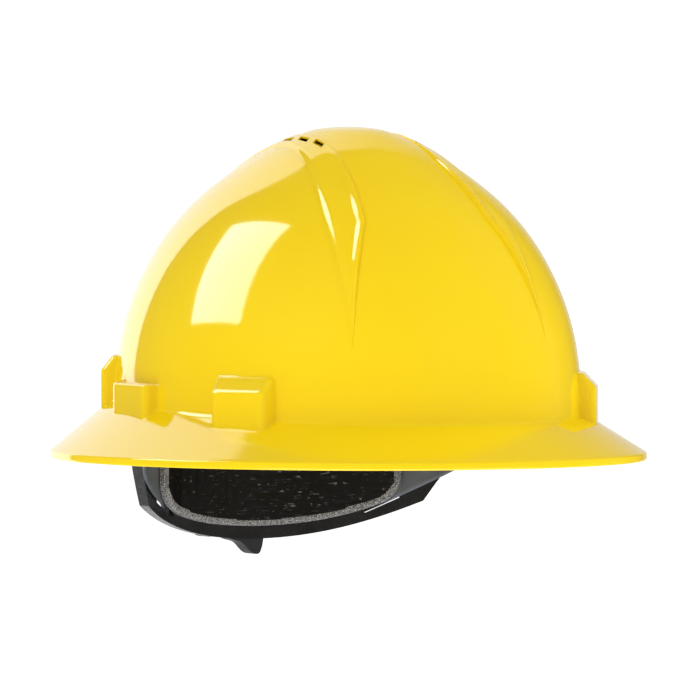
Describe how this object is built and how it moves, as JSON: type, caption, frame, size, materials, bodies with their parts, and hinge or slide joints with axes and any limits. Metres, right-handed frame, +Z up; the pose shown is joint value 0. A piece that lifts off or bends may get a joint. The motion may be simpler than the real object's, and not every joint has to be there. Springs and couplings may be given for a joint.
{
  "type": "full brim hard hat",
  "caption": "Full brim hard hat: a domed shell with twin ribs, crown vents and key pockets, over a strap suspension with a padded headband and a ratchet nape cradle.",
  "frame": {"origin": "middle of the head opening, level with the lower edge of the brim", "axes": "-Y towards the front of the hat, +X towards the wearer's left, +Z up to the crown"},
  "size_m": [0.28, 0.316, 0.2104],
  "materials": {
    "shell": "glossy yellow moulding",
    "key": "satin black moulding",
    "webbing": "woven webbing",
    "band": "satin black moulding",
    "pad": "smooth black pad over foam",
    "rivet": "black plastic rivet",
    "cradle": "satin black moulding",
    "strap": "flexible grey moulding",
    "hanger": "flexible black moulding",
    "screw": "plain steel",
    "pinion": "natural plastic",
    "knob": "satin black moulding"
  },
  "bodies": {
    "hat": {"shell": "shell", "suspension_key_front_left": "key", "suspension_key_front_right": "key", "suspension_key_rear_left": "key", "suspension_key_rear_right": "key", "crown_strap_front_right_to_rear_left": "webbing", "crown_strap_front_left_to_rear_right": "webbing", "headband": "band", "brow_pad": "pad", "brow_pad_rivets": "rivet", "side_strap_left": "strap", "side_strap_right": "strap", "rear_hanger_left": "hanger", "rear_hanger_right": "hanger"},
    "nape": {"nape_cradle": "cradle", "nape_pad": "pad", "ratchet_cover": "cradle", "cover_screws": "screw"},
    "knob": {"ratchet_knob": "knob", "pinion": "pinion", "pawl_spring": "pinion", "knob_screw": "screw", "knob_cap": "knob"},
    "rack_left": {"rack_left": "strap"},
    "rack_right": {"rack_right": "strap"}
  },
  "joints": [
    {"name": "nape_slide", "type": "slide", "parent": "hat", "child": "nape", "axis": [0, -1, 0], "range_m": [0, 0.03], "deforming": ["side_strap_left", "side_strap_right", "rear_hanger_left", "rear_hanger_right"]},
    {"name": "knob_turn", "type": "hinge", "parent": "nape", "child": "knob", "pos_m": [0, 0.112, -0.025], "axis": [0, 1, 0], "range_deg": [0, 458.4], "deforming": ["pawl_spring"]},
    {"name": "rack_right_turn", "type": "hinge", "parent": "nape", "child": "rack_right", "pos_m": [0, 0, -0.025], "axis": [0, 0, 1], "range_deg": [-22.5, 0]},
    {"name": "rack_left_turn", "type": "hinge", "parent": "nape", "child": "rack_left", "pos_m": [0, 0, -0.025], "axis": [0, 0, 1], "range_deg": [0, 22.1]}
  ],
  "couplings": [
    {"joint": "knob_turn", "follows": "nape_slide", "rad_per_m": 266.67},
    {"joint": "rack_right_turn", "follows": "nape_slide", "rad_per_m": -13.046},
    {"joint": "rack_left_turn", "follows": "nape_slide", "rad_per_m": 12.833}
  ]
}
